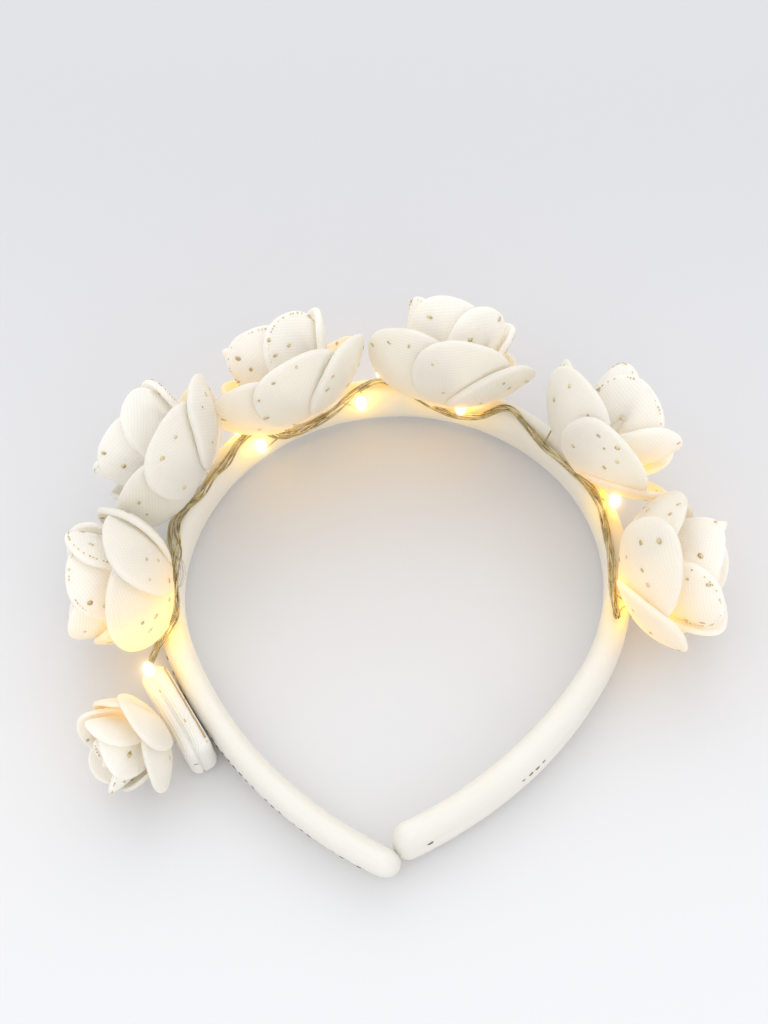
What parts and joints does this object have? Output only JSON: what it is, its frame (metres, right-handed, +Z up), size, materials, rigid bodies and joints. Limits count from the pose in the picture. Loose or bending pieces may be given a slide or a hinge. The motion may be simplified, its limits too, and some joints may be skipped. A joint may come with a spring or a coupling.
{
  "type": "light-up flower headband",
  "caption": "C-shaped padded satin headband with white foam flowers along its crown, a thin wire bundle with small warm lights, and a flat battery case on a leg.",
  "frame": {"origin": "middle of the lying headband's bounding box, on the surface it lies on", "axes": "+Z up out of the lying hoop, +Y to the middle of its crown, -Y to its tips, +X to the leg without the battery case"},
  "size_m": [0.1736, 0.1596, 0.0559],
  "materials": {
    "satin": "ivory satin",
    "foam": "ribbed white foam sheet",
    "wire": "clear-coated copper strands",
    "lamp": "clear drop, lit warm white",
    "casing": "smooth ivory"
  },
  "bodies": {
    "root": {"band": "satin", "flower_1_outer": "foam", "flower_1_inner": "foam", "flower_1_bud": "foam", "flower_2_outer": "foam", "flower_2_inner": "foam", "flower_2_bud": "foam", "flower_3_outer": "foam", "flower_3_inner": "foam", "flower_3_bud": "foam", "flower_4_outer": "foam", "flower_4_inner": "foam", "flower_4_bud": "foam", "flower_5_outer": "foam", "flower_5_inner": "foam", "flower_5_bud": "foam", "flower_6_outer": "foam", "flower_6_inner": "foam", "flower_6_bud": "foam", "flower_7_outer": "foam", "flower_7_inner": "foam", "flower_7_bud": "foam", "light_wire": "wire", "led_01": "lamp", "led_02": "lamp", "led_03": "lamp", "led_04": "lamp", "led_05": "lamp", "led_06": "lamp", "led_07": "lamp", "led_08": "lamp", "led_09": "lamp", "led_10": "lamp", "led_11": "lamp", "battery_case": "casing"}
  },
  "joints": []
}
